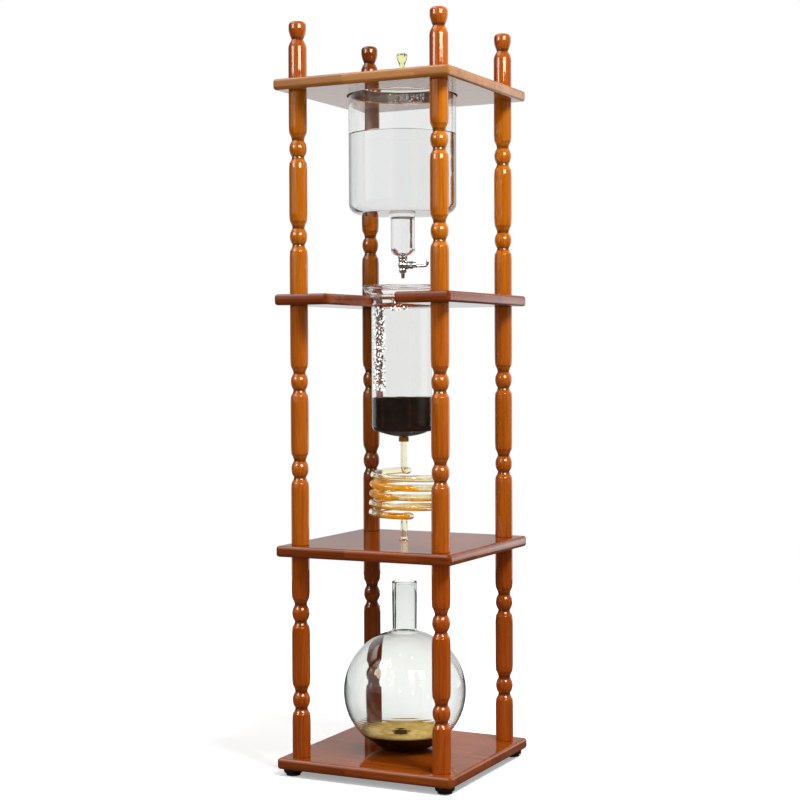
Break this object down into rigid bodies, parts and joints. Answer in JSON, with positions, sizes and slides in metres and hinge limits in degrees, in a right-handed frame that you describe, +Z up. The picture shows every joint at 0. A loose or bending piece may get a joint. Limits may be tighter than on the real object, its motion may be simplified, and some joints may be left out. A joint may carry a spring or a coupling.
{
  "type": "cold drip coffee tower",
  "caption": "Tall wooden frame with turned spindles holding a lidded glass water vessel with a drip tap, a glass coffee chamber with a drip coil and a round flask.",
  "frame": {"origin": "on the floor, at the centre of the footprint", "axes": "+Z up along the tower's axis, the open side of the notch in the middle shelf faces -Y, the tap's lever points to +X"},
  "size_m": [0.28, 0.28, 1.095],
  "materials": {
    "board_wood": "glossy lacquered boards",
    "spindle_wood": "glossy lacquered turned wood",
    "steel": "plain steel",
    "black_rubber": "matte black",
    "clear_glass": "clear blown glass",
    "water": null,
    "silicone": "translucent silicone",
    "tap_chrome": "bright plated metal",
    "knob_glass": "pale yellow-green glass",
    "filter_felt": "wet felt",
    "grounds": "wet ground coffee",
    "amber_rubber": "amber translucent sleeve",
    "coil_glass": "clear glass with coffee in it",
    "coffee": null
  },
  "bodies": {
    "frame": {"base_board": "board_wood", "lower_shelf": "board_wood", "middle_shelf": "board_wood", "top_shelf": "board_wood", "lower_spindle_fl": "spindle_wood", "lower_spindle_fr": "spindle_wood", "lower_spindle_bl": "spindle_wood", "lower_spindle_br": "spindle_wood", "middle_spindle_fl": "spindle_wood", "middle_spindle_fr": "spindle_wood", "middle_spindle_bl": "spindle_wood", "middle_spindle_br": "spindle_wood", "upper_spindle_fl": "spindle_wood", "upper_spindle_fr": "spindle_wood", "upper_spindle_bl": "spindle_wood", "upper_spindle_br": "spindle_wood", "finial_fl": "spindle_wood", "finial_fr": "spindle_wood", "finial_bl": "spindle_wood", "finial_br": "spindle_wood", "joint_studs": "steel", "base_bolts": "steel", "base_washers": "steel", "foot_pucks": "board_wood", "foot_pads": "black_rubber", "vessel_gasket": "black_rubber"},
    "vessel": {"water_vessel": "clear_glass", "vessel_water": "water", "tap_sleeve": "silicone", "tap_body": "tap_chrome", "tap_nozzle": "tap_chrome", "tap_packing_nut": "tap_chrome"},
    "tap_key": {"tap_plug": "tap_chrome", "tap_lever": "tap_chrome", "tap_lever_pin": "steel"},
    "lid": {"vessel_lid": "clear_glass", "lid_knob": "knob_glass"},
    "brewer": {"coffee_chamber": "clear_glass", "filter_disc": "filter_felt", "coffee_grounds": "grounds", "outlet_sleeve": "amber_rubber", "glass_coil": "coil_glass"},
    "carafe": {"flask": "clear_glass", "brewed_coffee": "coffee"}
  },
  "joints": [
    {"name": "vessel_lift", "type": "slide", "parent": "frame", "child": "vessel", "axis": [0, 0, 1], "range_m": [0, 0.3]},
    {"name": "tap_turn", "type": "hinge", "parent": "vessel", "child": "tap_key", "pos_m": [0, 0, 0.7453], "axis": [1, 0, 0], "range_deg": [0, 90]},
    {"name": "lid_lift", "type": "slide", "parent": "vessel", "child": "lid", "axis": [0, 0, 1], "range_m": [0, 0.1]},
    {"name": "brewer_draw", "type": "slide", "parent": "frame", "child": "brewer", "axis": [0, -1, 0], "range_m": [0, 0.21]},
    {"name": "carafe_draw", "type": "slide", "parent": "frame", "child": "carafe", "axis": [0, -1, 0], "range_m": [0, 0.24]}
  ]
}
